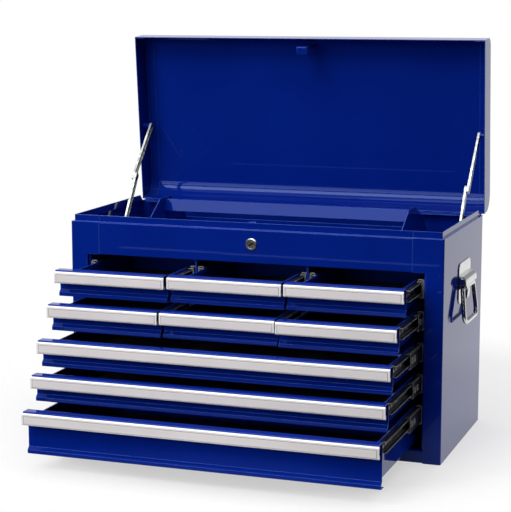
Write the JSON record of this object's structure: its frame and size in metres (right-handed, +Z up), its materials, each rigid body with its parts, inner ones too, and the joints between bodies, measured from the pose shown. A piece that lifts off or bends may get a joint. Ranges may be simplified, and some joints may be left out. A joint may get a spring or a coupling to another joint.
{
  "type": "tool chest",
  "caption": "Blue steel tool chest with ball-bearing drawers, satin pulls, a lift-out tray, a lock and drop handles under a hinged lid held up by folding stays.",
  "frame": {"origin": "centre of the underside of the base", "axes": "+X to the right as the drawers are faced, +Y to the back, +Z up"},
  "size_m": [0.631, 0.5676, 0.6236],
  "materials": {
    "blue_paint": "gloss powder coat",
    "satin_aluminium": "satin",
    "zinc_steel": "zinc plated",
    "chrome": "polished"
  },
  "bodies": {
    "case": {"side_panel_left": "blue_paint", "side_panel_right": "blue_paint", "back_panel": "blue_paint", "base_panel": "blue_paint", "front_rail": "blue_paint", "till_floor": "blue_paint", "drawer_partitions": "blue_paint", "slide_posts": "blue_paint", "slide_rails_fixed": "zinc_steel", "hinge_case_leaf": "blue_paint", "hinge_pin": "zinc_steel", "lock_barrel": "chrome", "handle_plates": "chrome"},
    "drawer_1": {"drawer_1_box": "blue_paint", "drawer_1_pull": "satin_aluminium", "drawer_1_slides": "zinc_steel"},
    "drawer_1_mids": {"drawer_1_slide_mids": "zinc_steel"},
    "drawer_2": {"drawer_2_box": "blue_paint", "drawer_2_pull": "satin_aluminium", "drawer_2_slides": "zinc_steel"},
    "drawer_2_mids": {"drawer_2_slide_mids": "zinc_steel"},
    "drawer_3": {"drawer_3_box": "blue_paint", "drawer_3_pull": "satin_aluminium", "drawer_3_slides": "zinc_steel"},
    "drawer_3_mids": {"drawer_3_slide_mids": "zinc_steel"},
    "drawer_4": {"drawer_4_box": "blue_paint", "drawer_4_pull": "satin_aluminium", "drawer_4_slides": "zinc_steel"},
    "drawer_4_mids": {"drawer_4_slide_mids": "zinc_steel"},
    "drawer_5": {"drawer_5_box": "blue_paint", "drawer_5_pull": "satin_aluminium", "drawer_5_slides": "zinc_steel"},
    "drawer_5_mids": {"drawer_5_slide_mids": "zinc_steel"},
    "drawer_6": {"drawer_6_box": "blue_paint", "drawer_6_pull": "satin_aluminium", "drawer_6_slides": "zinc_steel"},
    "drawer_6_mids": {"drawer_6_slide_mids": "zinc_steel"},
    "drawer_7": {"drawer_7_box": "blue_paint", "drawer_7_pull": "satin_aluminium", "drawer_7_slides": "zinc_steel"},
    "drawer_7_mids": {"drawer_7_slide_mids": "zinc_steel"},
    "drawer_8": {"drawer_8_box": "blue_paint", "drawer_8_pull": "satin_aluminium", "drawer_8_slides": "zinc_steel"},
    "drawer_8_mids": {"drawer_8_slide_mids": "zinc_steel"},
    "drawer_9": {"drawer_9_box": "blue_paint", "drawer_9_pull": "satin_aluminium", "drawer_9_slides": "zinc_steel"},
    "drawer_9_mids": {"drawer_9_slide_mids": "zinc_steel"},
    "lid": {"lid_shell": "blue_paint", "lid_ends": "blue_paint", "lid_catch": "blue_paint", "hinge_lid_leaf": "blue_paint"},
    "stays_low": {"stays_lower": "zinc_steel"},
    "stays_up": {"stays_upper": "zinc_steel"},
    "bail_left": {"handle_bail_left": "chrome"},
    "bail_right": {"handle_bail_right": "chrome"},
    "lock_plug_body": {"lock_plug": "chrome"},
    "tray": {"tote_tray": "blue_paint", "tote_handle": "blue_paint"}
  },
  "joints": [
    {"name": "drawer_1_slide", "type": "slide", "parent": "case", "child": "drawer_1", "axis": [0, -1, 0], "range_m": [-0.105, 0.125]},
    {"name": "drawer_1_mid_slide", "type": "slide", "parent": "case", "child": "drawer_1_mids", "axis": [0, -1, 0], "range_m": [-0.0525, 0.0625]},
    {"name": "drawer_2_slide", "type": "slide", "parent": "case", "child": "drawer_2", "axis": [0, -1, 0], "range_m": [-0.0995, 0.1305]},
    {"name": "drawer_2_mid_slide", "type": "slide", "parent": "case", "child": "drawer_2_mids", "axis": [0, -1, 0], "range_m": [-0.04975, 0.06525]},
    {"name": "drawer_3_slide", "type": "slide", "parent": "case", "child": "drawer_3", "axis": [0, -1, 0], "range_m": [-0.097, 0.133]},
    {"name": "drawer_3_mid_slide", "type": "slide", "parent": "case", "child": "drawer_3_mids", "axis": [0, -1, 0], "range_m": [-0.0485, 0.0665]},
    {"name": "drawer_4_slide", "type": "slide", "parent": "case", "child": "drawer_4", "axis": [0, -1, 0], "range_m": [-0.1315, 0.0985]},
    {"name": "drawer_4_mid_slide", "type": "slide", "parent": "case", "child": "drawer_4_mids", "axis": [0, -1, 0], "range_m": [-0.06575, 0.04925]},
    {"name": "drawer_5_slide", "type": "slide", "parent": "case", "child": "drawer_5", "axis": [0, -1, 0], "range_m": [-0.129, 0.101]},
    {"name": "drawer_5_mid_slide", "type": "slide", "parent": "case", "child": "drawer_5_mids", "axis": [0, -1, 0], "range_m": [-0.0645, 0.0505]},
    {"name": "drawer_6_slide", "type": "slide", "parent": "case", "child": "drawer_6", "axis": [0, -1, 0], "range_m": [-0.134, 0.096]},
    {"name": "drawer_6_mid_slide", "type": "slide", "parent": "case", "child": "drawer_6_mids", "axis": [0, -1, 0], "range_m": [-0.067, 0.048]},
    {"name": "drawer_7_slide", "type": "slide", "parent": "case", "child": "drawer_7", "axis": [0, -1, 0], "range_m": [-0.167, 0.063]},
    {"name": "drawer_7_mid_slide", "type": "slide", "parent": "case", "child": "drawer_7_mids", "axis": [0, -1, 0], "range_m": [-0.0835, 0.0315]},
    {"name": "drawer_8_slide", "type": "slide", "parent": "case", "child": "drawer_8", "axis": [0, -1, 0], "range_m": [-0.189, 0.041]},
    {"name": "drawer_8_mid_slide", "type": "slide", "parent": "case", "child": "drawer_8_mids", "axis": [0, -1, 0], "range_m": [-0.0945, 0.0205]},
    {"name": "drawer_9_slide", "type": "slide", "parent": "case", "child": "drawer_9", "axis": [0, -1, 0], "range_m": [-0.219, 0.011]},
    {"name": "drawer_9_mid_slide", "type": "slide", "parent": "case", "child": "drawer_9_mids", "axis": [0, -1, 0], "range_m": [-0.1095, 0.0055]},
    {"name": "lid_hinge", "type": "hinge", "parent": "case", "child": "lid", "pos_m": [0, 0.1436, 0.337], "axis": [-1, 0, 0], "range_deg": [-84.78, 0]},
    {"name": "stays_lower_pivot", "type": "hinge", "parent": "case", "child": "stays_low", "pos_m": [0, 0.0245, 0.303], "axis": [1, 0, 0], "range_deg": [0, 125.57]},
    {"name": "stays_upper_pivot", "type": "hinge", "parent": "lid", "child": "stays_up", "pos_m": [0, 0.1568, 0.46734], "axis": [1, 0, 0], "range_deg": [-96.73, 0]},
    {"name": "handle_left_swing", "type": "hinge", "parent": "case", "child": "bail_left", "pos_m": [-0.3064, 0.001, 0.2505], "axis": [0, 1, 0], "range_deg": [0, 80]},
    {"name": "handle_right_swing", "type": "hinge", "parent": "case", "child": "bail_right", "pos_m": [0.3064, 0.001, 0.2505], "axis": [0, -1, 0], "range_deg": [0, 80]},
    {"name": "lock_turn", "type": "hinge", "parent": "case", "child": "lock_plug_body", "pos_m": [0.0015, -0.14, 0.3175], "axis": [0, -1, 0], "range_deg": [0, 90]},
    {"name": "tray_lift", "type": "slide", "parent": "case", "child": "tray", "axis": [0, 0, 1], "range_m": [0, 0.12]}
  ],
  "couplings": [
    {"joint": "drawer_1_mid_slide", "follows": "drawer_1_slide", "ratio": 0.5},
    {"joint": "drawer_2_mid_slide", "follows": "drawer_2_slide", "ratio": 0.5},
    {"joint": "drawer_3_mid_slide", "follows": "drawer_3_slide", "ratio": 0.5},
    {"joint": "drawer_4_mid_slide", "follows": "drawer_4_slide", "ratio": 0.5},
    {"joint": "drawer_5_mid_slide", "follows": "drawer_5_slide", "ratio": 0.5},
    {"joint": "drawer_6_mid_slide", "follows": "drawer_6_slide", "ratio": 0.5},
    {"joint": "drawer_7_mid_slide", "follows": "drawer_7_slide", "ratio": 0.5},
    {"joint": "drawer_8_mid_slide", "follows": "drawer_8_slide", "ratio": 0.5},
    {"joint": "drawer_9_mid_slide", "follows": "drawer_9_slide", "ratio": 0.5},
    {"joint": "stays_lower_pivot", "follows": "lid_hinge", "ratio": -1.4811},
    {"joint": "stays_upper_pivot", "follows": "lid_hinge", "ratio": 1.1409}
  ]
}
